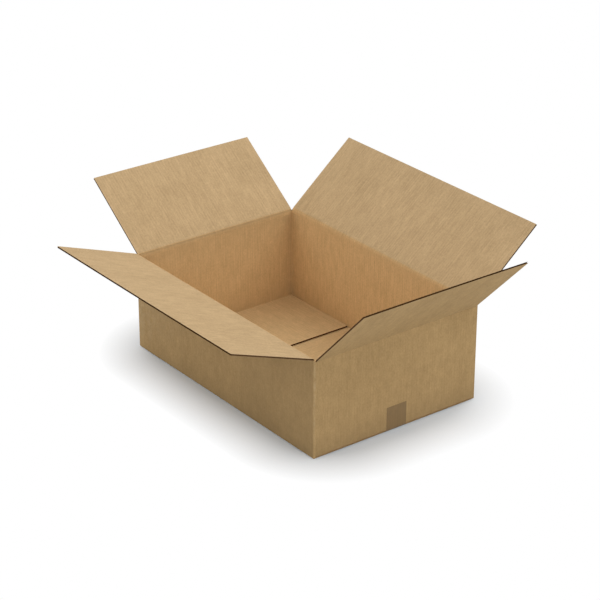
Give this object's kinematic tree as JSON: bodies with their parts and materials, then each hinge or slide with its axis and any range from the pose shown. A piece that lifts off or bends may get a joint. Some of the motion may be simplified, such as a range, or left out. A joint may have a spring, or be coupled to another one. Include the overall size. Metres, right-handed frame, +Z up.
{
  "type": "open cardboard box",
  "caption": "Open rectangular corrugated carton: top flaps folded outwards on scored hinges, bottom flaps closed and taped, walls joined by a glued corner tab.",
  "frame": {"origin": "middle of the underside of the closing tape, under the middle of the box's outside length and width", "axes": "+X along the box's length, towards the end wall that is called right; +Y along its width, from the front long wall to the back one; +Z up"},
  "size_m": [0.9082, 0.7489, 0.3558],
  "materials": {
    "carton_board": "matt brown kraft liner",
    "flap_paper": "matt brown kraft liner, with open flutes at the cut edges",
    "packing_tape": "matt brown film"
  },
  "bodies": {
    "carton": {"carton_body": "carton_board", "bottom_tape": "packing_tape"},
    "front_flap": {"front_flap": "flap_paper"},
    "back_flap": {"back_flap": "flap_paper"},
    "left_flap": {"left_flap": "flap_paper"},
    "right_flap": {"right_flap": "flap_paper"}
  },
  "joints": [
    {"name": "front_flap_fold", "type": "hinge", "parent": "carton", "child": "front_flap", "pos_m": [0, -0.203, 0.2122], "axis": [1, 0, 0], "range_deg": [-160, 105]},
    {"name": "back_flap_fold", "type": "hinge", "parent": "carton", "child": "back_flap", "pos_m": [0, 0.203, 0.2122], "axis": [-1, 0, 0], "range_deg": [-140, 125]},
    {"name": "left_flap_fold", "type": "hinge", "parent": "carton", "child": "left_flap", "pos_m": [-0.303, 0, 0.2091], "axis": [0, -1, 0], "range_deg": [-144, 121]},
    {"name": "right_flap_fold", "type": "hinge", "parent": "carton", "child": "right_flap", "pos_m": [0.303, 0, 0.2091], "axis": [0, 1, 0], "range_deg": [-134, 131]}
  ]
}
